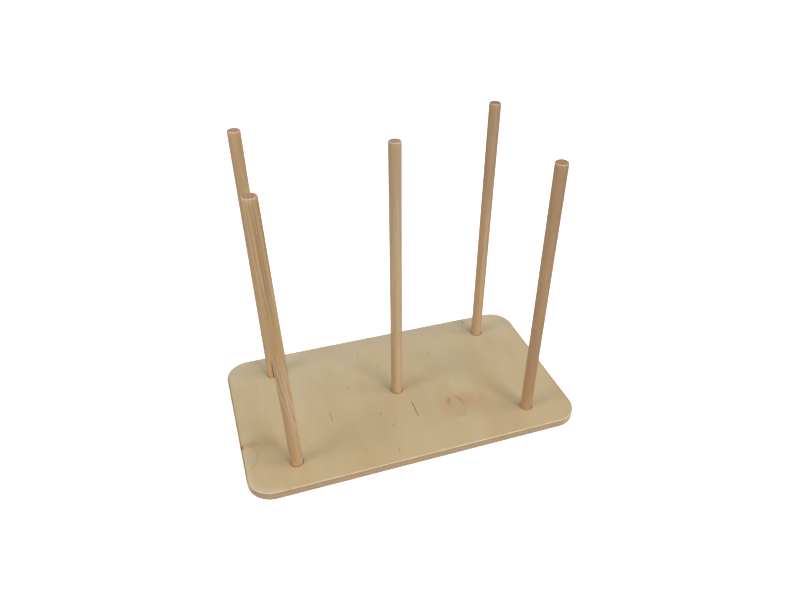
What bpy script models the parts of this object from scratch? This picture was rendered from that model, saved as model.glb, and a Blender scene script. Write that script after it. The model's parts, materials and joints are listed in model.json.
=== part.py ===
"""A peg loom: a thin plywood board with five round wooden pegs standing in drilled holes.

Metres, +Z up. The origin is the middle of the board's underside, which is where the centre
peg stands. The long front edge of the board faces -Y.

Each peg is a loose fit in a hole that goes right through the board, so it draws out along
its own axis, and it leans a little, as far as the play in the hole lets it.
"""

import math

import bmesh
import bpy
from mathutils import Matrix, Vector

OBJECT_NAME = "peg_loom"

# The board
BOARD_LENGTH = 0.350
BOARD_WIDTH = 0.200
BOARD_THICKNESS = 0.009
CORNER_RADIUS = 0.025
EASED_EDGE = 0.0008

# The pegs
PEG_DIAMETER = 0.012
PEG_LENGTH = 0.294
PEG_CHAMFER = 0.0009
PEG_SPACING_X = 0.250
PEG_SPACING_Y = 0.137
HOLE_PLAY = 0.0003  # between the peg and the wall of its hole, all the way round

# Facets
CORNER_SEGMENTS = 10
EASED_EDGE_SEGMENTS = 2
ROUND_SEGMENTS = 32
CUTTER_OVERHANG = 0.003
SMOOTH_BELOW = math.radians(40)
BEVEL_ABOVE = math.radians(60)

# Each peg's name, its place in the pattern (-1, 0 or 1 along X and Y), and how far it leans
# in its hole towards +X and towards +Y, in degrees
PEGS = [
    ("peg_front_left", (-1, -1), (-1.6, 0.8)),
    ("peg_front_right", (1, -1), (-1.6, -1.8)),
    ("peg_rear_left", (-1, 1), (-0.6, -0.1)),
    ("peg_rear_right", (1, 1), (-0.1, 0.2)),
    ("peg_centre", (0, 0), (0.0, 0.9)),
]

# Colours as linear RGB, and roughness
BIRCH_PLYWOOD = ((0.539, 0.429, 0.254), 0.55)
DOWEL_WOOD = ((0.462, 0.313, 0.181), 0.60)


def clear_scene():
    for obj in list(bpy.data.objects):
        bpy.data.objects.remove(obj, do_unlink=True)


def new_collection(name):
    collection = bpy.data.collections.new(name)
    bpy.context.scene.collection.children.link(collection)
    return collection


def wood_material(name, finish):
    (red, green, blue), roughness = finish
    material = bpy.data.materials.new(name)
    material.use_nodes = True
    shader = material.node_tree.nodes["Principled BSDF"]
    shader.inputs["Base Color"].default_value = (red, green, blue, 1.0)
    shader.inputs["Roughness"].default_value = roughness
    shader.inputs["Metallic"].default_value = 0.0
    return material


def object_from_bmesh(name, mesh_builder, collection):
    mesh = bpy.data.meshes.new(name)
    mesh_builder.to_mesh(mesh)
    mesh_builder.free()
    obj = bpy.data.objects.new(name, mesh)
    collection.objects.link(obj)
    return obj


def shade_round(obj):
    obj.data.shade_smooth()
    obj.data.set_sharp_from_angle(angle=SMOOTH_BELOW)


def bevel_edges(obj, width, segments):
    """Rounds or chamfers the edges where faces meet at about a right angle."""
    bevel = obj.modifiers.new("eased_edges", "BEVEL")
    bevel.width = width
    bevel.segments = segments
    bevel.limit_method = "ANGLE"
    bevel.angle_limit = BEVEL_ABOVE


def round_bar(name, radius, bottom, top, collection):
    """An upright cylinder round the object's own Z axis, from bottom to top."""
    bar = bmesh.new()
    bmesh.ops.create_cone(
        bar,
        cap_ends=True,
        segments=ROUND_SEGMENTS,
        radius1=radius,
        radius2=radius,
        depth=top - bottom,
        matrix=Matrix.Translation((0, 0, (top + bottom) / 2)),
    )
    return object_from_bmesh(name, bar, collection)


def hole_centre(place):
    return Vector((place[0] * PEG_SPACING_X / 2, place[1] * PEG_SPACING_Y / 2, 0))


def peg_axis(lean):
    """The peg's direction, upwards, from its lean towards +X and +Y in degrees."""
    lean_x, lean_y = (math.tan(math.radians(angle)) for angle in lean)
    return Vector((lean_x, lean_y, 1)).normalized()


def peg_foot(place, axis):
    """The centre of the peg's lower end. The axis passes through the middle of the hole,
    and the lowest point of the end's rim stands level with the board's underside."""
    end_radius = PEG_DIAMETER / 2 - PEG_CHAMFER
    height = end_radius * math.sqrt(1 - axis.z**2)
    middle_of_hole = hole_centre(place) + Vector((0, 0, BOARD_THICKNESS / 2))
    return middle_of_hole - axis * (middle_of_hole.z - height) / axis.z


def make_hole_cutters(collection):
    """One cutter for each peg's hole, longer than the board is thick."""
    radius = PEG_DIAMETER / 2 + HOLE_PLAY
    for name, place, _ in PEGS:
        cutter = round_bar(
            name.replace("peg", "hole"),
            radius,
            -CUTTER_OVERHANG,
            BOARD_THICKNESS + CUTTER_OVERHANG,
            collection,
        )
        cutter.location = hole_centre(place)
        cutter.hide_render = True
        cutter.display_type = "WIRE"


def make_board(collection, cutters):
    slab = bmesh.new()
    bmesh.ops.create_cube(slab, size=1)
    bmesh.ops.scale(slab, vec=(BOARD_LENGTH, BOARD_WIDTH, BOARD_THICKNESS), verts=slab.verts)
    bmesh.ops.translate(slab, vec=(0, 0, BOARD_THICKNESS / 2), verts=slab.verts)
    upright_edges = [
        edge
        for edge in slab.edges
        if abs(edge.verts[0].co.z - edge.verts[1].co.z) > BOARD_THICKNESS / 2
    ]
    bmesh.ops.bevel(
        slab,
        geom=upright_edges,
        offset=CORNER_RADIUS,
        segments=CORNER_SEGMENTS,
        profile=0.5,
        affect="EDGES",
    )
    board = object_from_bmesh("base_board", slab, collection)
    shade_round(board)
    bevel_edges(board, EASED_EDGE, EASED_EDGE_SEGMENTS)
    holes = board.modifiers.new("peg_holes", "BOOLEAN")
    holes.operation = "DIFFERENCE"
    holes.solver = "EXACT"
    holes.operand_type = "COLLECTION"
    holes.collection = cutters
    board.data.materials.append(wood_material("birch_plywood", BIRCH_PLYWOOD))
    return board


def make_peg(name, place, lean, material, collection):
    axis = peg_axis(lean)
    peg = round_bar(name, PEG_DIAMETER / 2, 0, PEG_LENGTH, collection)
    peg.location = peg_foot(place, axis)
    peg.rotation_mode = "QUATERNION"
    peg.rotation_quaternion = Vector((0, 0, 1)).rotation_difference(axis)
    shade_round(peg)
    bevel_edges(peg, PEG_CHAMFER, 1)
    peg.data.materials.append(material)
    return peg


def main():
    clear_scene()
    parts = new_collection(OBJECT_NAME)
    cutters = new_collection(OBJECT_NAME + "_cutters")
    make_hole_cutters(cutters)
    make_board(parts, cutters)
    for name, place, lean in PEGS:
        material = wood_material(name.replace("peg", "dowel"), DOWEL_WOOD)
        make_peg(name, place, lean, material, parts)


main()
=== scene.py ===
"""Looks for the peg loom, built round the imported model.

The plywood board and the five dowels are modelled again in finer mesh, in the places that the
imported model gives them. Positions are in the row frame, in metres. Each piece carries its own
procedural wood, which moves with it.
"""

import json
import math

import bmesh
import bpy
from mathutils import Matrix, Quaternion, Vector, noise

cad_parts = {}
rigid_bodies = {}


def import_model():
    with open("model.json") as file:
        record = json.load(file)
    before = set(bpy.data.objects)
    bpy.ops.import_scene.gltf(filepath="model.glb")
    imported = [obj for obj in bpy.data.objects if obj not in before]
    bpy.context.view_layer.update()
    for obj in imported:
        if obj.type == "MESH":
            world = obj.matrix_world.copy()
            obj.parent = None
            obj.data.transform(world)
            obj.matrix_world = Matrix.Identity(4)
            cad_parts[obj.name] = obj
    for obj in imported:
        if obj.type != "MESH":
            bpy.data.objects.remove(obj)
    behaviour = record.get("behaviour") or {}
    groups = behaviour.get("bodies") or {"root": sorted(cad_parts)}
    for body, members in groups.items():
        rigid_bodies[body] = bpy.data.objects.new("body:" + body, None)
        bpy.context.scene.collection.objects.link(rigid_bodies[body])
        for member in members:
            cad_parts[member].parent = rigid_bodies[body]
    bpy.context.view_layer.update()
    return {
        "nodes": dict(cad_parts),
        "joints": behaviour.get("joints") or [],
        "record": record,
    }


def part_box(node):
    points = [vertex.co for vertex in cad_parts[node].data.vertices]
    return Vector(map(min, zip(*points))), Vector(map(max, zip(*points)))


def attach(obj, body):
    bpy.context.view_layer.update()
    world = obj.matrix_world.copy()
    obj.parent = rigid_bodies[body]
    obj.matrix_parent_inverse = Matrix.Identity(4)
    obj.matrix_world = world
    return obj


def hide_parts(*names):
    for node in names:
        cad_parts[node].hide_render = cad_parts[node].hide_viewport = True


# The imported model, in a scene that holds nothing else
for startup_object in list(bpy.data.objects):
    bpy.data.objects.remove(startup_object)
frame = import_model()
BOARD_LOW, BOARD_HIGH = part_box("base_board")
BOARD_TOP = BOARD_HIGH.z

MM = 0.001

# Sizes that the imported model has
BOARD_CORNER = 25 * MM
PEG_RADIUS = 6 * MM
PEG_CHAMFER = 0.9 * MM
HOLE_RADIUS = 6.3 * MM

# How far the pegs are from true: in roundness, as a share of the radius, and at the worn ends
PEG_UNROUND = 0.006
PEG_END_WEAR = 0.036 * MM

# The stage, in metres
FLOOR_RADIUS = 12.0
WALL_CURVE = 6.0
FLOOR_DROP = 0.2 * MM

# The camera, looking at TARGET from the front left and above
CAMERA_TARGET = (0.0259, 0.0, 0.0918)
CAMERA_AZIMUTH = -20.41
CAMERA_ELEVATION = 37.11
CAMERA_ROLL = 1.44
CAMERA_DISTANCE = 0.7002
CAMERA_LENS = 30.124
CAMERA_SHIFT = (-0.02536, 0.03224)

# Plywood layers
FACE_VENEER = 1.15 * MM
PLY_COUNT = 7
INNER_LAYER = (BOARD_TOP - 2 * FACE_VENEER) / (PLY_COUNT - 2)
GROOVE_DEPTH = 0.06 * MM
GROOVE_WIDTH = 0.24 * MM

# Fissures in the face veneer: middle x and y, length, greatest width and turn from +Y, in mm
# and degrees
FISSURES = [
    (9.2, -35.0, 28.0, 1.10, 0.5),
    (-78.8, -19.0, 17.0, 0.60, -3.0),
    (-27.6, -30.5, 4.5, 0.85, 4.0),
    (-20.0, -51.0, 4.5, 0.80, 8.0),
    (-25.0, -85.5, 4.5, 0.75, 3.0),
    (-25.0, 72.5, 4.5, 0.65, 4.0),
    (-9.0, 46.0, 4.0, 0.60, -6.0),
    (56.0, 50.0, 5.0, 0.85, -5.0),
    (59.0, 34.5, 3.5, 0.65, 6.0),
    (-52.0, 18.5, 4.0, 0.65, 3.0),
    (117.0, 92.5, 6.0, 1.10, 2.0),
    (-164.5, 53.0, 8.0, 0.40, -2.0),
    (147.5, -12.0, 14.0, 0.25, -2.0),
    (-56.0, -75.0, 4.0, 0.35, 2.0),
    (-38.0, -31.0, 1.5, 0.45, 0.0),
    (-154.0, -2.5, 2.0, 0.40, 0.0),
]
FISSURE_DEPTH = 0.5 * MM

# Gaps in the layer under the face veneer, along the front edge: middle x and length, in mm
FRONT_EDGE_GAPS = [
    (-138.6, 3.0),
    (-130.0, 1.8),
    (-120.7, 2.0),
    (-44.8, 4.0),
    (-40.3, 3.4),
    (-36.6, 1.8),
    (-33.0, 2.6),
    (4.5, 1.8),
    (93.0, 2.4),
    (107.0, 2.0),
]

# Tones of single places in the wood, as linear RGB
# The darker brown of the board's short ends and of their side faces
SHORT_END_BROWN = (0.305, 0.147, 0.038)
BROWN_STAIN = (0.330, 0.160, 0.065)
AMBER_STAIN = (0.560, 0.250, 0.070)
RED_STAIN = (0.200, 0.055, 0.020)
# Painted shade, for the darker tops, right-hand sides and feet of the pegs
PAINTED_SHADE = (0.420, 0.260, 0.140)
PALE_STREAK = (0.800, 0.610, 0.390)
# Paler wear on the pegs' chamfer rims, made paler still as a painted highlight
RIM_WEAR_AND_HIGHLIGHT = (0.700, 0.560, 0.400)

# The dowels' colours as linear RGB. "pith" is the x and y of the middle of the growth rings,
# and "spacing" the gap between them, in mm. "slant" is how far the stripes move towards +X for
# each step up, at the foot and at the top. Each mark has its place round the peg in degrees
# from the front towards +X, its height, width and length in mm, its strength and its colour.
# Some marks are painted shade: the broad ones round the tops, the narrow ones on the right-hand
# side and the ones at the feet.
DOWEL_LOOKS = {
    "peg_front_left": {
        "pale": (0.734, 0.514, 0.298),
        "warm": (0.638, 0.421, 0.221),
        "dark": (0.375, 0.180, 0.070),
        "end": (0.420, 0.265, 0.160),
        "contrast": 0.62,
        "spacing": 2.9,
        "pith": (-26.0, 2.5),
        "slant": (-0.16, 0.02),
        "marks": [
            (-4.0, 245.0, 1.6, 110.0, 0.55, BROWN_STAIN),
            (10.0, 232.0, 1.3, 120.0, 0.50, BROWN_STAIN),
            (24.0, 225.0, 1.2, 80.0, 0.35, BROWN_STAIN),
            (-50.0, 275.0, 1.2, 50.0, 0.22, BROWN_STAIN),
            # Painted shade on the right-hand side near the top
            (40.0, 290.0, 13.0, 150.0, 0.34, PAINTED_SHADE),
            (-58.0, 235.0, 6.0, 200.0, 0.34, PALE_STREAK),
            (18.0, 75.0, 5.0, 150.0, 0.34, PALE_STREAK),
            # Painted shade round the foot
            (-20.0, 0.0, 44.0, 90.0, 0.16, PAINTED_SHADE),
        ],
    },
    "peg_front_right": {
        "pale": (0.640, 0.421, 0.243),
        "warm": (0.586, 0.362, 0.198),
        "dark": (0.419, 0.225, 0.112),
        "end": (0.370, 0.230, 0.140),
        "contrast": 0.30,
        "spacing": 1.6,
        "pith": (22.0, -14.0),
        "slant": (0.01, 0.02),
        "marks": [
            # Painted shade: a darker top and a darker right-hand side
            (-22.0, 305.0, 40.0, 260.0, 0.24, PAINTED_SHADE),
            (50.0, 290.0, 12.0, 200.0, 0.54, PAINTED_SHADE),
            (30.0, 150.0, 7.0, 420.0, 0.40, PAINTED_SHADE),
        ],
    },
    "peg_rear_left": {
        "pale": (0.676, 0.468, 0.269),
        "warm": (0.625, 0.410, 0.221),
        "dark": (0.419, 0.232, 0.109),
        "end": (0.410, 0.270, 0.175),
        "contrast": 0.24,
        "spacing": 2.0,
        "pith": (-22.0, 6.0),
        "slant": (0.01, -0.01),
        "marks": [
            (-6.0, 18.0, 3.4, 44.0, 0.62, AMBER_STAIN),
            (2.0, 15.0, 2.0, 34.0, 0.90, RED_STAIN),
            (14.0, 40.0, 1.2, 34.0, 0.50, BROWN_STAIN),
            # Painted shade on the right-hand side near the top
            (50.0, 290.0, 10.0, 120.0, 0.30, PAINTED_SHADE),
        ],
    },
    "peg_rear_right": {
        "pale": (0.692, 0.486, 0.301),
        "warm": (0.623, 0.415, 0.239),
        "dark": (0.400, 0.210, 0.100),
        "end": (0.330, 0.225, 0.150),
        "contrast": 0.35,
        "spacing": 3.0,
        "pith": (-25.0, 12.0),
        "slant": (0.02, 0.14),
        "marks": [
            # Painted shade: a darker top
            (-26.0, 290.0, 44.0, 240.0, 0.42, PAINTED_SHADE),
            (-4.0, 105.0, 5.0, 210.0, 0.36, PALE_STREAK),
            # Painted shade on the right-hand side, and round the foot
            (34.0, 200.0, 6.0, 240.0, 0.30, PAINTED_SHADE),
            (50.0, 290.0, 10.0, 200.0, 0.56, PAINTED_SHADE),
            (-20.0, 0.0, 44.0, 110.0, 0.15, PAINTED_SHADE),
        ],
    },
    "peg_centre": {
        "pale": (0.691, 0.501, 0.316),
        "warm": (0.642, 0.443, 0.258),
        "dark": (0.449, 0.264, 0.139),
        "end": (0.390, 0.280, 0.205),
        "contrast": 0.22,
        "spacing": 1.9,
        "pith": (-24.0, -8.0),
        "slant": (0.0, 0.02),
        "marks": [
            # Painted shade: a darker top
            (-20.0, 310.0, 44.0, 260.0, 0.24, PAINTED_SHADE),
            (4.0, 130.0, 6.0, 300.0, 0.42, PALE_STREAK),
            # Painted shade on the left of the foot, and round the foot
            (-75.0, 30.0, 9.0, 140.0, 0.24, PAINTED_SHADE),
            (-20.0, 0.0, 44.0, 80.0, 0.12, PAINTED_SHADE),
        ],
    },
}


def rgba(colour):
    """A colour socket as it is, and an (r, g, b) colour with its alpha."""
    return colour if isinstance(colour, bpy.types.NodeSocket) else (*colour, 1.0)


class Graph:
    """A node tree, with one short call for each kind of node."""

    def __init__(self, tree, shader):
        self.tree = tree
        self.shader = tree.nodes[shader]

    def fill(self, socket, value):
        if isinstance(value, bpy.types.NodeSocket):
            self.tree.links.new(value, socket)
        else:
            socket.default_value = value

    def surface(self, inputs):
        """Fills the shader's inputs, given by name."""
        for name, value in inputs.items():
            self.fill(self.shader.inputs[name], value)

    def add(self, kind, inputs, output=0, **settings):
        """Adds a node, fills the inputs given by name or number, and returns one output."""
        node = self.tree.nodes.new("ShaderNode" + kind)
        for setting, value in settings.items():
            setattr(node, setting, value)
        for key, value in inputs.items():
            self.fill(node.inputs[key], value)
        return node.outputs[output]

    def math(self, operation, *values):
        return self.add("Math", dict(enumerate(values)), operation=operation)

    def plus(self, first, second):
        return self.math("ADD", first, second)

    def minus(self, first, second):
        return self.math("SUBTRACT", first, second)

    def times(self, first, second):
        return self.math("MULTIPLY", first, second)

    def absolute(self, value):
        return self.math("ABSOLUTE", value)

    def part(self, vector, axis):
        """The vector's x, y or z, for axis 0, 1 or 2."""
        return self.add("SeparateXYZ", {0: vector}, output=axis)

    def shifted(self, vector, x, y, z):
        return self.add("VectorMath", {0: vector, 1: (x, y, z)}, operation="ADD")

    def stretch(self, vector, x, y, z):
        return self.add("VectorMath", {0: vector, 1: (x, y, z)}, operation="MULTIPLY")

    def length(self, vector):
        return self.add("VectorMath", {0: vector}, output="Value", operation="LENGTH")

    def noise(self, vector, detail=2.0, roughness=0.5, distortion=0.0):
        inputs = {
            "Vector": vector,
            "Scale": 1.0,
            "Detail": detail,
            "Roughness": roughness,
            "Distortion": distortion,
        }
        return self.add("TexNoise", inputs)

    def ramp(self, value, start, end):
        """0 below start and 1 above end, with a smooth rise between, or a fall if start > end."""
        inputs = {"Value": value, "From Min": start, "From Max": end}
        return self.add("MapRange", inputs, interpolation_type="SMOOTHSTEP")

    def spread(self, value, low, high):
        """A value from 0 to 1, moved to the range from low to high."""
        return self.add("MapRange", {"Value": value, "To Min": low, "To Max": high})

    def mix(self, factor, first, second, blend="MIX"):
        inputs = {0: factor, 6: rgba(first), 7: rgba(second)}
        return self.add("Mix", inputs, output=2, data_type="RGBA", blend_type=blend)

    def bump(self, height, distance):
        return self.add("Bump", {"Height": height, "Distance": distance})


def new_material(name):
    material = bpy.data.materials.new(name)
    material.use_nodes = True
    return material, Graph(material.node_tree, "Principled BSDF")


# ---------------------------------------------------------------------------- mesh helpers


def link(obj):
    bpy.context.scene.collection.objects.link(obj)
    return obj


def object_from(name, builder, material):
    mesh = bpy.data.meshes.new(name)
    builder.to_mesh(mesh)
    builder.free()
    mesh.materials.append(material)
    return link(bpy.data.objects.new(name, mesh))


def shade_round(mesh, sharp_above=35):
    mesh.shade_smooth()
    mesh.set_sharp_from_angle(angle=math.radians(sharp_above))


def bridge(builder, lower, upper):
    """Quads between two closed rings of the same number of vertices."""
    count = len(lower)
    for i in range(count):
        j = (i + 1) % count
        builder.faces.new((lower[i], lower[j], upper[j], upper[i]))


def cut(obj, cutters):
    """Cuts the cutters from obj, whose new faces take the cutters' materials."""
    helpers = bpy.data.collections.new(obj.name + "_cutters")
    for cutter in cutters:
        helpers.objects.link(cutter)
    modifier = obj.modifiers.new("cuts", "BOOLEAN")
    modifier.operation = "DIFFERENCE"
    modifier.solver = "EXACT"
    modifier.operand_type = "COLLECTION"
    modifier.collection = helpers
    modifier.material_mode = "TRANSFER"
    graph = bpy.context.evaluated_depsgraph_get()
    mesh = bpy.data.meshes.new_from_object(obj.evaluated_get(graph), depsgraph=graph)
    obj.modifiers.clear()
    obj.data = mesh
    for cutter in cutters:
        bpy.data.objects.remove(cutter)
    bpy.data.collections.remove(helpers)


# ---------------------------------------------------------------------------- pegs in place


class Peg:
    """A packed peg: its body and node, the direction it slides in, its length, where its foot
    stands and the middle of its hole."""

    def __init__(self, joint, bodies):
        self.body = joint["child"]
        self.node = bodies[self.body][0]
        self.axis = Vector(joint["axis"]).normalized()
        points = [v.co for v in frame["nodes"][self.node].data.vertices]
        heights = [p.dot(self.axis) for p in points]
        self.length = max(heights) - min(heights)
        middle = sum(points, Vector()) / len(points)
        self.foot = middle - self.axis * self.length / 2
        self.hole = self.foot + self.axis * (BOARD_TOP / 2 - self.foot.z) / self.axis.z


# ---------------------------------------------------------------------------- the board


def rounded_outline(inset, step=5 * MM, corner_segments=20):
    """The board's outline moved in by inset, anticlockwise, with points along the sides too."""
    half = (BOARD_HIGH - BOARD_LOW) / 2
    radius = BOARD_CORNER - inset
    points = []
    for turn, (sx, sy) in enumerate([(1, 1), (-1, 1), (-1, -1), (1, -1)]):
        centre = Vector((sx * (half.x - BOARD_CORNER), sy * (half.y - BOARD_CORNER)))
        for k in range(corner_segments + 1):
            angle = math.pi / 2 * (turn + k / corner_segments)
            points.append(centre + radius * Vector((math.cos(angle), math.sin(angle))))
        run = 2 * (half.x if turn % 2 == 0 else half.y) - 2 * BOARD_CORNER
        along = Vector((-1, 0)) if turn % 2 == 0 else Vector((0, -1))
        along = along if turn < 2 else -along
        start = points[-1]
        stops = round(run / step)
        points.extend(start + along * run * k / stops for k in range(1, stops))
    return points


def glue_lines():
    """The heights between the plywood's layers."""
    return [FACE_VENEER + INNER_LAYER * k for k in range(PLY_COUNT - 1)]


def board_profile():
    """(inset, height) from the underside, round the eased edges, up to the top face."""
    lower_ease, upper_ease = 0.7 * MM, 1.0 * MM
    segments = 5
    profile = [(lower_ease + 0.6 * MM, 0.0)]
    for k in range(segments + 1):
        angle = math.pi / 2 * k / segments
        inset = lower_ease * (1 - math.sin(angle))
        profile.append((inset, lower_ease * (1 - math.cos(angle))))
    for height in glue_lines():
        if height < BOARD_TOP - upper_ease:
            profile.append((0.0, height - GROOVE_WIDTH / 2))
            profile.append((GROOVE_DEPTH, height))
            profile.append((0.0, height + GROOVE_WIDTH / 2))
    for k in range(segments + 1):
        angle = math.pi / 2 * k / segments
        inset = upper_ease * (1 - math.cos(angle))
        profile.append((inset, BOARD_TOP - upper_ease * (1 - math.sin(angle))))
    profile.append((upper_ease + 0.6 * MM, BOARD_TOP))
    return profile


def slab(material):
    """The board before its holes are cut: rings round the outline, closed by flat faces."""
    builder = bmesh.new()
    rings = []
    for inset, height in board_profile():
        ring = [builder.verts.new((p.x, p.y, height)) for p in rounded_outline(inset)]
        rings.append(ring)
    for lower, upper in zip(rings, rings[1:]):
        bridge(builder, lower, upper)
    builder.faces.new(reversed(rings[0]))
    builder.faces.new(rings[-1])
    return object_from("plywood_board", builder, material)


def turned_cutter(name, profile, centre, material, sides=72):
    """A solid of revolution about an upright line through centre, from (radius, height)."""
    builder = bmesh.new()
    rings = []
    for radius, height in profile:
        angles = [2 * math.pi * k / sides for k in range(sides)]
        at = [(centre.x + radius * math.cos(a), centre.y + radius * math.sin(a)) for a in angles]
        rings.append([builder.verts.new((x, y, height)) for x, y in at])
    for lower, upper in zip(rings, rings[1:]):
        bridge(builder, lower, upper)
    builder.faces.new(reversed(rings[0]))
    builder.faces.new(rings[-1])
    return object_from(name, builder, material)


def hole_cutter(peg, material):
    """A drilled hole with its rims just broken."""
    over, rim = 2 * MM, 0.2 * MM
    wide = HOLE_RADIUS + rim
    profile = [
        (wide, -over),
        (wide, 0.0),
        (HOLE_RADIUS, rim),
        (HOLE_RADIUS, BOARD_TOP - rim),
        (wide, BOARD_TOP),
        (wide, BOARD_TOP + over),
    ]
    return turned_cutter("hole_" + peg.body, profile, peg.hole, material)


def fissure_cutter(index, fissure, material):
    """A thin wedge, pointed at both ends, that opens a crack in the top face along the grain."""
    x, y, length, width, turn = fissure
    half_length, half_width = length * MM / 2, width * MM / 2
    stations = 9
    builder = bmesh.new()
    deep, wide = [], []
    for side in (-1, 1):
        for k in range(stations - 1):
            t = side * (2 * k / (stations - 1) - 1)
            bulge = half_width * math.sqrt(1 - 0.98 * t * t)
            wander = 0.35 * half_width * math.sin(7 * t + index)
            at = (side * bulge + wander, t * half_length)
            wide.append(builder.verts.new((*at, FISSURE_DEPTH)))
            deep.append(builder.verts.new((0.15 * side * bulge + wander, at[1], -FISSURE_DEPTH)))
    bridge(builder, deep, wide)
    builder.faces.new(reversed(deep))
    builder.faces.new(wide)
    bmesh.ops.recalc_face_normals(builder, faces=builder.faces)
    spin = Matrix.Rotation(math.radians(-turn), 4, "Z")
    builder.transform(Matrix.Translation((x * MM, y * MM, BOARD_TOP)) @ spin)
    return object_from(f"fissure_{index}", builder, material)


def pit_cutter(name, centre, size, material):
    """An egg-shaped cutter for a gap or a bruise in an edge."""
    builder = bmesh.new()
    bmesh.ops.create_icosphere(builder, subdivisions=3, radius=0.5)
    for vertex in builder.verts:
        rough = 1 + 0.25 * noise.noise(vertex.co * 4 + centre * 300)
        vertex.co = Vector(a * b for a, b in zip(vertex.co * rough, size)) + centre
    return object_from(name, builder, material)


def edge_pits(material):
    """The gaps under the face veneer along the front edge, and a bruised knot on the left one."""
    height = BOARD_TOP - FACE_VENEER
    cutters = []
    for k, (x, length) in enumerate(FRONT_EDGE_GAPS):
        centre = Vector((x * MM, BOARD_LOW.y, height))
        size = (length * MM, 1.4 * MM, 0.55 * MM)
        cutters.append(pit_cutter(f"edge_gap_{k}", centre, size, material))
    knot = Vector((BOARD_LOW.x, -33 * MM, BOARD_TOP - 0.5 * MM))
    cutters.append(pit_cutter("edge_knot", knot, (1.6 * MM, 6 * MM, 2.2 * MM), material))
    return cutters


def make_board(pegs):
    wood = board_material(pegs)
    dark = void_shade_material()
    board = slab(wood)
    cutters = [hole_cutter(peg, wood) for peg in pegs]
    cutters += [fissure_cutter(k, fissure, dark) for k, fissure in enumerate(FISSURES)]
    cutters += edge_pits(dark)
    cut(board, cutters)
    shade_round(board.data)
    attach(board, "board")
    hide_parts("base_board")


# ---------------------------------------------------------------------------- board materials


def board_material(pegs):
    """Birch plywood: face veneer with its grain along Y, layered edges, and drilled rims."""
    material, g = new_material("birch_plywood")
    place = g.add("TexCoord", {}, output="Object")
    normal = g.add("TexCoord", {}, output="Normal")
    veneer = face_colour(g, place)
    marked = veneer
    for add_mark in (with_smudges_and_painted_shadow, with_half_oval, with_painted_corner_glare, with_bruise, with_knot):
        marked = add_mark(g, place, marked)
    upper_half = g.ramp(g.part(place, 2), 0.45 * BOARD_TOP, 0.55 * BOARD_TOP)
    face = with_rims(g, place, g.mix(upper_half, veneer, marked), pegs)
    ends = at_ends(g, place)
    face = g.mix(g.times(ends, 0.65), face, SHORT_END_BROWN)
    # The eased edges: sanded paler, and paler still as a painted highlight
    eased_and_highlight = g.mix(ends, sanded_edge_and_highlight(g, place), SHORT_END_BROWN)
    flatness = g.absolute(g.part(normal, 2))
    edge = g.mix(g.ramp(flatness, 0.30, 0.50), edge_colour(g, place, normal), eased_and_highlight)
    colour = g.mix(g.ramp(flatness, 0.88, 0.97), edge, face)
    fibres = g.noise(g.stretch(place, 2600, 45, 900), detail=4.0, roughness=0.6)
    rough = g.spread(fibres, 0.30, 0.42)
    bump = g.bump(fibres, 0.04 * MM)
    g.surface({"Base Color": colour, "Roughness": rough, "Normal": bump})
    return material


def face_colour(g, place):
    """Rotary-cut birch: cream, yellower to the front, with cloudy bands and fine fibres. It turns
    greyer and cooler to the back, a painted reflection of the cool light from behind."""
    clouds = g.noise(g.stretch(place, 22, 6, 1), detail=3.0, roughness=0.55)
    colour = g.mix(g.ramp(clouds, 0.30, 0.70), (0.520, 0.402, 0.228), (0.560, 0.450, 0.277))
    pinkish = g.noise(g.stretch(place, 31, 17, 1), detail=2.0)
    tint = g.times(g.ramp(pinkish, 0.50, 0.72), 0.30)
    colour = g.mix(tint, colour, (0.555, 0.395, 0.230))
    field = g.noise(g.stretch(place, 26, 4, 1), detail=2.0, distortion=0.4)
    waves = g.math("FRACT", g.times(field, 22.0))
    colour = g.mix(g.times(g.ramp(waves, 0.55, 0.98), 0.06), colour, (0.400, 0.270, 0.130))
    fibres = g.noise(g.stretch(place, 1500, 32, 1), detail=3.0, roughness=0.6)
    colour = g.mix(g.times(g.ramp(fibres, 0.42, 0.75), 0.13), colour, (0.380, 0.270, 0.140))
    flecks = g.noise(g.stretch(place, 900, 120, 1), detail=1.0)
    colour = g.mix(g.times(g.ramp(flecks, 0.74, 0.80), 0.45), colour, (0.250, 0.150, 0.070))
    along = g.part(place, 1)
    # Painted reflection: the veneer turns cooler towards the back, as if it mirrored cool light
    # from behind
    colour = g.mix(g.ramp(along, 45 * MM, 95 * MM), colour, (1.020, 1.045, 1.130), "MULTIPLY")
    return g.mix(g.ramp(along, 75 * MM, -75 * MM), colour, (0.960, 0.925, 0.850), "MULTIPLY")


def oval(g, place, x, y, width, length):
    """The distance from (x, y), in mm, as a share of an oval's half width and half length."""
    flat = g.stretch(g.shifted(place, -x * MM, -y * MM, 0), 2 / (width * MM), 2 / (length * MM), 0)
    return g.length(flat)


def ragged(g, place, amount):
    """A slow noise that makes the outline of a mark on the left edge uneven."""
    return g.times(g.noise(g.stretch(place, 120, 60, 1), detail=2.0), amount)


def with_smudges_and_painted_shadow(g, place, colour):
    """The browner veneer near the left edge, partly the wood's own colour and partly a painted
    shadow of the front-left peg, and the small stain in it.
    """
    # Partly painted shadow: the brown smudge lies where the front-left peg's shadow ends
    smudge_and_shadow = g.plus(oval(g, place, -155.0, -36.0, 40.0, 36.0), ragged(g, place, 0.4))
    colour = g.mix(g.times(g.ramp(smudge_and_shadow, 1.40, 0.30), 0.50), colour, (0.405, 0.262, 0.108))
    stain = g.plus(oval(g, place, -163.0, -32.0, 16.0, 9.0), ragged(g, place, 0.4))
    return g.mix(g.times(g.ramp(stain, 1.60, 0.30), 0.45), colour, (0.340, 0.200, 0.085))


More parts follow.
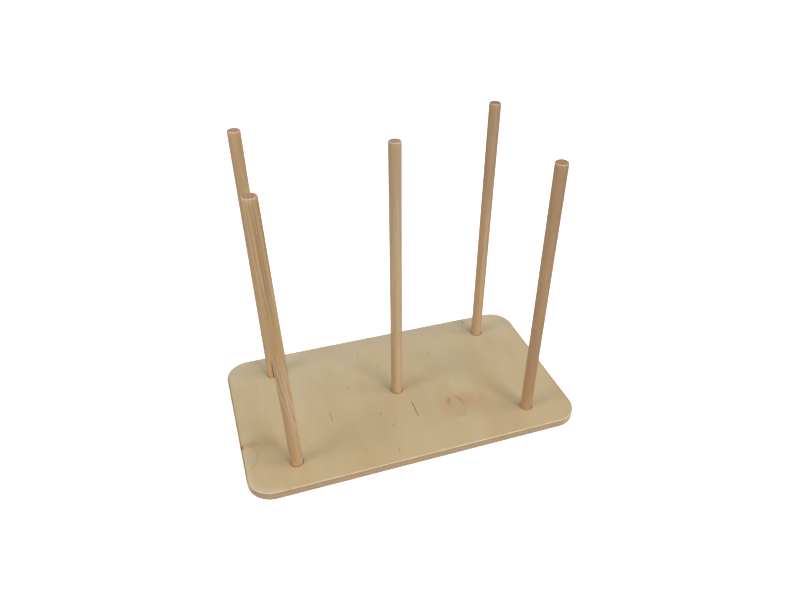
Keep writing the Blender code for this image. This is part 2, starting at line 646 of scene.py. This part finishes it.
def with_half_oval(g, place, colour):
    """The pale half oval at the left edge, with its faint brown outline."""
    reach = g.plus(oval(g, place, -176.0, -47.5, 31.0, 36.0), ragged(g, place, 0.2))
    colour = g.mix(g.times(g.ramp(reach, 1.25, 0.85), 0.40), colour, (0.540, 0.420, 0.245))
    outline = g.times(g.ramp(reach, 0.96, 1.08), g.ramp(reach, 1.22, 1.08))
    return g.mix(g.times(outline, 0.22), colour, (0.330, 0.215, 0.105))


def with_painted_corner_glare(g, place, colour):
    """A painted highlight: the pale strip along the left edge and round the front corner, where
    the rolled-over edge catches the light.
    """
    x, y = g.part(place, 0), g.part(place, 1)
    past_x = g.math("MAXIMUM", g.minus(BOARD_LOW.x + BOARD_CORNER, x), 0.0)
    past_y = g.math("MAXIMUM", g.minus(BOARD_LOW.y + BOARD_CORNER, y), 0.0)
    outwards = g.length(g.add("CombineXYZ", {0: past_x, 1: past_y}))
    glare_reach = g.plus(outwards, ragged(g, place, 2.4 * MM))
    strip = g.times(g.ramp(glare_reach, 17 * MM, 26 * MM), g.ramp(y, -31 * MM, -37 * MM))
    strip = g.times(strip, g.ramp(x, -138 * MM, -152 * MM))
    # Painted highlight along the left edge and round the front corner
    return g.mix(g.times(strip, 0.48), colour, (0.640, 0.545, 0.385))


def with_bruise(g, place, colour):
    """The reddish stain round the knot in the left edge."""
    bruise = g.plus(oval(g, place, -175.5, -33.5, 8.0, 8.0), ragged(g, place, 0.4))
    return g.mix(g.times(g.ramp(bruise, 1.40, 0.80), 0.74), colour, RED_STAIN)


def with_knot(g, place, colour):
    """A pale sound knot, stretched along the grain, with brown shoulders behind it, an amber
    halo and a painted glint, a pale spot in front."""
    knot_x, knot_y = 54.3, -45.5
    wobble = g.noise(g.stretch(place, 180, 90, 1), detail=2.0)
    uneven = g.times(wobble, 0.9)
    halo = g.plus(oval(g, place, 64.0, -41.0, 76.0, 46.0), uneven)
    colour = g.mix(g.times(g.ramp(halo, 1.50, 0.50), 0.60), colour, (0.490, 0.295, 0.130))
    # Painted glint: the pale spot in front of the knot
    spot = g.plus(oval(g, place, 51.0, -65.0, 12.0, 12.0), uneven)
    colour = g.mix(g.times(g.ramp(spot, 1.70, 0.60), 0.26), colour, (0.610, 0.500, 0.330))
    reach = g.plus(oval(g, place, knot_x, knot_y, 13.5, 30.0), g.times(wobble, 0.40))
    y = g.part(place, 1)
    beside = g.ramp(g.absolute(g.minus(g.part(place, 0), knot_x * MM)), 0.5 * MM, 5.0 * MM)
    behind = g.times(g.ramp(y, -47 * MM, -37 * MM), g.ramp(y, -27 * MM, -33 * MM))
    shoulders = g.times(g.ramp(reach, 1.90, 1.05), g.times(behind, beside))
    colour = g.mix(g.times(shoulders, 0.56), colour, (0.330, 0.175, 0.045))
    rings = g.math("FRACT", g.times(reach, 3.0))
    heart = g.mix(g.times(rings, 0.22), (0.505, 0.375, 0.208), (0.400, 0.265, 0.132))
    colour = g.mix(g.ramp(reach, 1.28, 1.08), colour, heart)
    outline = g.times(g.ramp(reach, 1.05, 1.18), g.ramp(reach, 1.34, 1.18))
    return g.mix(g.times(outline, 0.16), colour, (0.330, 0.200, 0.090))


def with_rims(g, place, colour, pegs):
    """A brown stain on the rim and the wall of each drilled hole."""
    width = 2 * HOLE_RADIUS / MM
    distances = [oval(g, place, peg.hole.x / MM, peg.hole.y / MM, width, width) for peg in pegs]
    nearest = distances[0]
    for distance in distances[1:]:
        nearest = g.math("MINIMUM", nearest, distance)
    return g.mix(g.times(g.ramp(nearest, 1.15, 1.06), 0.8), colour, (0.210, 0.095, 0.042))


def at_ends(g, place):
    """1 on the last millimetre of the board's short ends, fading out over the next one and
    towards the corners."""
    along_x, along_y = g.absolute(g.part(place, 0)), g.absolute(g.part(place, 1))
    outermost = g.ramp(along_x, BOARD_HIGH.x - 2.2 * MM, BOARD_HIGH.x - 0.8 * MM)
    return g.times(outermost, g.ramp(along_y, 90 * MM, 74 * MM))


def sanded_edge_and_highlight(g, place):
    """The pale wood that sanding leaves on the rounded edges, paler still as a painted highlight
    where they catch the light.
    """
    uneven = g.ramp(g.noise(g.stretch(place, 90, 90, 1), detail=3.0), 0.30, 0.65)
    return g.mix(uneven, (0.610, 0.470, 0.280), (0.780, 0.650, 0.430))


def edge_colour(g, place, normal):
    """The layers on the edge, with dark glue lines. End grain is darker, and the layers take
    turns at showing it."""
    height = g.part(place, 2)
    layer = g.math("DIVIDE", g.minus(height, FACE_VENEER), INNER_LAYER)
    odd = g.math("PINGPONG", g.plus(g.math("FLOOR", layer), 1.0), 1.0)
    facing_x = g.ramp(g.absolute(g.part(normal, 0)), 0.45, 0.85)
    end_grain = g.absolute(g.minus(g.minus(1.0, odd), facing_x))
    cloudy = g.noise(g.stretch(place, 260, 260, 1400), detail=3.0)
    long_grain = g.mix(cloudy, (0.650, 0.445, 0.242), (0.530, 0.345, 0.184))
    across = g.mix(cloudy, (0.550, 0.362, 0.194), (0.410, 0.255, 0.130))
    colour = g.mix(end_grain, long_grain, across)
    colour = g.mix(g.times(facing_x, 0.65), colour, SHORT_END_BROWN)
    from_middle = g.absolute(g.minus(g.math("FRACT", layer), 0.5))
    colour = g.mix(g.times(g.ramp(from_middle, 0.42, 0.49), 0.60), colour, (0.230, 0.110, 0.050))
    from_veneer = g.absolute(g.minus(height, BOARD_TOP - FACE_VENEER))
    dark_line = g.times(g.ramp(from_veneer, 0.60 * MM, 0.15 * MM), 0.60)
    return g.mix(dark_line, colour, (0.260, 0.130, 0.060))


def void_shade_material():
    """The inside of a crack, a gap or a bruise, painted near black as shade."""
    material, g = new_material("painted_void_shade")
    place = g.add("TexCoord", {}, output="Object")
    soot = g.noise(g.stretch(place, 900, 400, 900), detail=3.0)
    colour = g.mix(soot, (0.060, 0.022, 0.008), (0.150, 0.062, 0.022))
    g.surface({"Base Color": colour, "Roughness": 0.9, "Specular IOR Level": 0.05})
    return material


# ---------------------------------------------------------------------------- the pegs


def end_profile():
    """(radius, depth, end) rings from the middle of a peg's end to its side. "end" is 1 on the
    flat, 0.5 on the chamfer and 0 on the side."""
    flat = PEG_RADIUS - PEG_CHAMFER
    rings = [(flat * share, 0.0, 1.0) for share in (0.25, 0.5, 0.75, 0.96)]
    chamfer = [
        (0.0, 0.0, 1.0),
        (0.06, 0.03, 1.0),
        (0.50, 0.44, 0.5),
        (0.94, 0.88, 0.5),
        (1.0, 1.05, 0.0),
    ]
    rings += [(flat + PEG_CHAMFER * out, PEG_CHAMFER * down, end) for out, down, end in chamfer]
    return rings


def peg_mesh(name, length, seed, material, sides=80, spacing=6 * MM):
    """A dowel standing on its foot at the origin: not quite round or evenly chamfered."""
    count = round(length / spacing)
    profile = end_profile()
    profile += [(PEG_RADIUS, length * k / count, 0.0) for k in range(1, count)]
    profile += [(radius, length - depth, end) for radius, depth, end in reversed(end_profile())]
    builder = bmesh.new()
    wood = builder.verts.layers.float_vector.new("wood")
    end_grain = builder.verts.layers.float.new("end_grain")

    def vertex(x, y, z, end):
        made = builder.verts.new((x, y, z))
        made[wood] = (x, y, z)
        made[end_grain] = end
        return made

    rings = []
    for radius, height, end in profile:
        ring = []
        for k in range(sides):
            angle = 2 * math.pi * k / sides
            way = Vector((math.cos(angle), math.sin(angle), height * 12)) + seed
            r = radius * (1 + PEG_UNROUND * noise.noise(way))
            wear = PEG_END_WEAR * noise.noise(way * 2.5) if end else 0
            ring.append(vertex(r * math.cos(angle), r * math.sin(angle), height + wear, end))
        rings.append(ring)
    for below, above in zip(rings, rings[1:]):
        bridge(builder, below, above)
    for ring, height in ((rings[0], 0.0), (rings[-1], length)):
        tip = vertex(0, 0, height, 1.0)
        for k in range(sides):
            corners = (ring[k], ring[(k + 1) % sides], tip)
            builder.faces.new(corners if height else corners[::-1])
    return object_from(name, builder, material)


def make_peg(peg, look, seed):
    name = peg.node.replace("peg", "dowel")
    material = dowel_material(name, look, seed, peg.length)
    obj = peg_mesh(name, peg.length, Vector((seed * 7.3, 0, 0)), material)
    shade_round(obj.data, 30)
    turn = Vector((0, 0, 1)).rotation_difference(peg.axis)
    obj.matrix_world = Matrix.Translation(peg.foot) @ turn.to_matrix().to_4x4()
    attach(obj, peg.body)
    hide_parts(peg.node)


def dowel_material(name, look, seed, length):
    """Solid wood: growth rings round a pith beside the peg, so that its sides show stripes and
    its ends show arcs."""
    material, g = new_material(name)
    wood = g.add("Attribute", {}, output="Vector", attribute_name="wood")
    end = g.add("Attribute", {}, output="Fac", attribute_name="end_grain")
    cut = g.ramp(end, 0.60, 0.90)
    rim = g.times(g.ramp(end, 0.05, 0.40), g.ramp(end, 0.90, 0.60))
    own = g.shifted(wood, seed * 0.37, seed * 0.11, seed)
    ring = growth_rings(g, wood, own, look, length)
    clouds = g.ramp(g.noise(g.stretch(own, 70, 70, 7)), 0.35, 0.65)
    colour = g.mix(clouds, look["pale"], look["warm"])
    shown = g.noise(g.stretch(own, 150, 150, 11), detail=2.0)
    shown = g.add("MapRange", {"Value": shown, "From Min": 0.38, "From Max": 0.62, "To Min": 0.10})
    stripes = g.times(ring, g.times(shown, look["contrast"]))
    colour = g.mix(stripes, colour, look["dark"])
    fibres = g.noise(g.stretch(own, 1700, 1700, 38), detail=3.0, roughness=0.6)
    colour = g.mix(g.times(g.ramp(fibres, 0.45, 0.75), 0.20), colour, look["dark"])
    flecks = g.noise(g.stretch(own, 2200, 2200, 260), detail=1.0)
    colour = g.mix(g.times(g.ramp(flecks, 0.68, 0.74), 0.35), colour, look["dark"])
    colour = with_marks(g, wood, colour, look["marks"])
    # The chamfer rims: paler wear with a painted highlight
    colour = g.mix(g.times(rim, 0.34), colour, RIM_WEAR_AND_HIGHLIGHT)
    pores = g.noise(g.stretch(own, 4200, 4200, 500), detail=2.0)
    cut_end = g.mix(g.times(ring, 0.45), look["end"], (0.190, 0.100, 0.052))
    cut_end = g.mix(g.times(g.ramp(pores, 0.58, 0.70), 0.5), cut_end, (0.110, 0.060, 0.032))
    colour = g.mix(cut, colour, cut_end)
    rough = g.plus(g.spread(fibres, 0.55, 0.70), g.times(cut, 0.2))
    g.surface(
        {
            "Base Color": colour,
            "Roughness": rough,
            "Normal": g.bump(fibres, 0.05 * MM),
            "Specular IOR Level": 0.12,
        }
    )
    return material


def growth_rings(g, wood, own, look, length):
    """0 in the early wood to 1 in the late wood, round a pith that slants from foot to top."""
    x, y, z = (g.part(wood, axis) for axis in range(3))
    pith_x, pith_y = look["pith"]
    foot, top = look["slant"]
    slip = g.times(z, g.math("MULTIPLY_ADD", z, (top - foot) / (2 * length), foot))
    across = g.minus(g.minus(x, pith_x * MM), slip)
    along = g.minus(y, pith_y * MM)
    radius = g.length(g.add("CombineXYZ", {0: across, 1: along}))
    waver = g.noise(g.stretch(own, 60, 60, 9), detail=2.0)
    turns = g.plus(g.math("DIVIDE", radius, look["spacing"] * MM), g.times(waver, 1.8))
    phase = g.math("FRACT", turns)
    return g.times(g.ramp(phase, 0.45, 0.90), g.ramp(phase, 1.0, 0.94))


def with_marks(g, wood, colour, marks):
    """Stains, streaks and painted shade on a peg's side, each a long oval that frays along the
    grain.
    """
    fray = g.times(g.noise(g.stretch(wood, 900, 900, 60), detail=3.0), 0.8)
    for around, height, width, length, strength, stain in marks:
        turn = math.radians(around)
        spot = Vector((PEG_RADIUS * math.sin(turn), -PEG_RADIUS * math.cos(turn), height * MM))
        half_width, half_length = width * MM / 2, length * MM / 2
        flat = g.stretch(g.shifted(wood, *-spot), 1 / half_width, 1 / half_width, 1 / half_length)
        inside = g.ramp(g.plus(g.length(flat), fray), 1.55, 0.85)
        colour = g.mix(g.times(inside, strength), colour, stain)
    return colour


# ---------------------------------------------------------------------------- the studio


def stage_piece(name, builder, material):
    """Part of the stage, which starts just below the loom and doesn't light matt surfaces."""
    obj = object_from(name, builder, material)
    obj.data.shade_smooth()
    obj.location.z = -FLOOR_DROP
    obj.visible_diffuse = False
    return obj


def make_stage():
    """A pale floor, much larger than the loom, and a curved wall and dome round it that only
    the camera sees."""
    material, g = new_material("studio_white")
    g.surface(
        {
            "Base Color": (0.93, 0.93, 0.93, 1.0),
            "Roughness": 0.9,
            "Emission Color": (1.0, 1.0, 1.0, 1.0),
            "Emission Strength": 0.6,
        }
    )
    floor = bmesh.new()
    bmesh.ops.create_circle(floor, cap_ends=True, segments=64, radius=FLOOR_RADIUS)
    stage_piece("studio_floor", floor, material)
    quarter = [math.pi / 2 * k / 12 for k in range(13)]
    wide = FLOOR_RADIUS + WALL_CURVE
    bend = [(math.sin(a), 1 - math.cos(a)) for a in quarter]
    foot = [(FLOOR_RADIUS + WALL_CURVE * out, WALL_CURVE * up) for out, up in bend]
    dome = [(wide * math.cos(a), WALL_CURVE + wide * math.sin(a)) for a in quarter[1:-1]]
    wall = bmesh.new()
    rings = []
    for radius, height in foot + dome:
        rings.append(bmesh.ops.create_circle(wall, segments=64, radius=radius)["verts"])
        bmesh.ops.translate(wall, verts=rings[-1], vec=(0, 0, height))
    for lower, upper in zip(rings, rings[1:]):
        bridge(wall, lower, upper)
    wall.faces.new(rings[-1])
    backdrop = stage_piece("studio_wall", wall, material)
    backdrop.visible_glossy = False
    backdrop.visible_shadow = False


def softbox(name, location, size, power):
    """A round lamp, its size in metres and its power in watts, that faces the loom."""
    light = bpy.data.lights.new(name, "AREA")
    light.shape = "DISK"
    light.size = size
    light.energy = power
    obj = link(bpy.data.objects.new(name, light))
    obj.location = location
    aim = Vector((0, 0, 0.05)) - Vector(location)
    obj.rotation_euler = aim.to_track_quat("-Z", "Y").to_euler()
    obj.visible_camera = False


def make_lights():
    softbox("front_light", (1.27, -2.51, 3.12), 1.32, 47.5)
    softbox("right_light", (2.33, -1.085, 4.25), 1.80, 43.5)
    softbox("left_light", (-1.62, -0.46, 2.24), 0.95, 16.0)


def make_world():
    """Soft light from all round, weaker from below, and weaker and cooler from behind."""
    world = bpy.context.scene.world or bpy.data.worlds.new("studio")
    bpy.context.scene.world = world
    world.use_nodes = True
    g = Graph(world.node_tree, "Background")
    direction = g.add("TexCoord", {}, output="Generated")
    behind = g.ramp(g.part(direction, 1), -0.5, 0.7)
    strength = g.math("MULTIPLY_ADD", g.ramp(g.part(direction, 2), -0.15, 0.10), 0.366, 0.174)
    strength = g.times(strength, g.math("MULTIPLY_ADD", behind, -0.42, 1.20))
    colour = g.mix(behind, (1.0, 0.98, 0.95), (0.93, 1.0, 1.11))
    g.surface({"Color": colour, "Strength": strength})


def make_camera():
    azimuth, elevation = math.radians(CAMERA_AZIMUTH), math.radians(CAMERA_ELEVATION)
    back = Vector(
        (
            math.sin(azimuth) * math.cos(elevation),
            -math.cos(azimuth) * math.cos(elevation),
            math.sin(elevation),
        )
    )
    data = bpy.data.cameras.new("camera")
    data.lens = CAMERA_LENS
    data.shift_x, data.shift_y = CAMERA_SHIFT
    camera = link(bpy.data.objects.new("camera", data))
    camera.location = Vector(CAMERA_TARGET) + back * CAMERA_DISTANCE
    camera.rotation_mode = "QUATERNION"
    level = back.to_track_quat("Z", "Y")
    camera.rotation_quaternion = level @ Quaternion((0, 0, 1), math.radians(CAMERA_ROLL))
    bpy.context.scene.camera = camera


bodies = frame["record"]["behaviour"]["bodies"]
pegs = [Peg(joint, bodies) for joint in frame["joints"]]
make_camera()
make_board(pegs)
for seed, peg in enumerate(pegs, start=1):
    make_peg(peg, DOWEL_LOOKS[peg.node], seed)
make_stage()
make_lights()
make_world()
bpy.context.scene.view_settings.view_transform = "Standard"
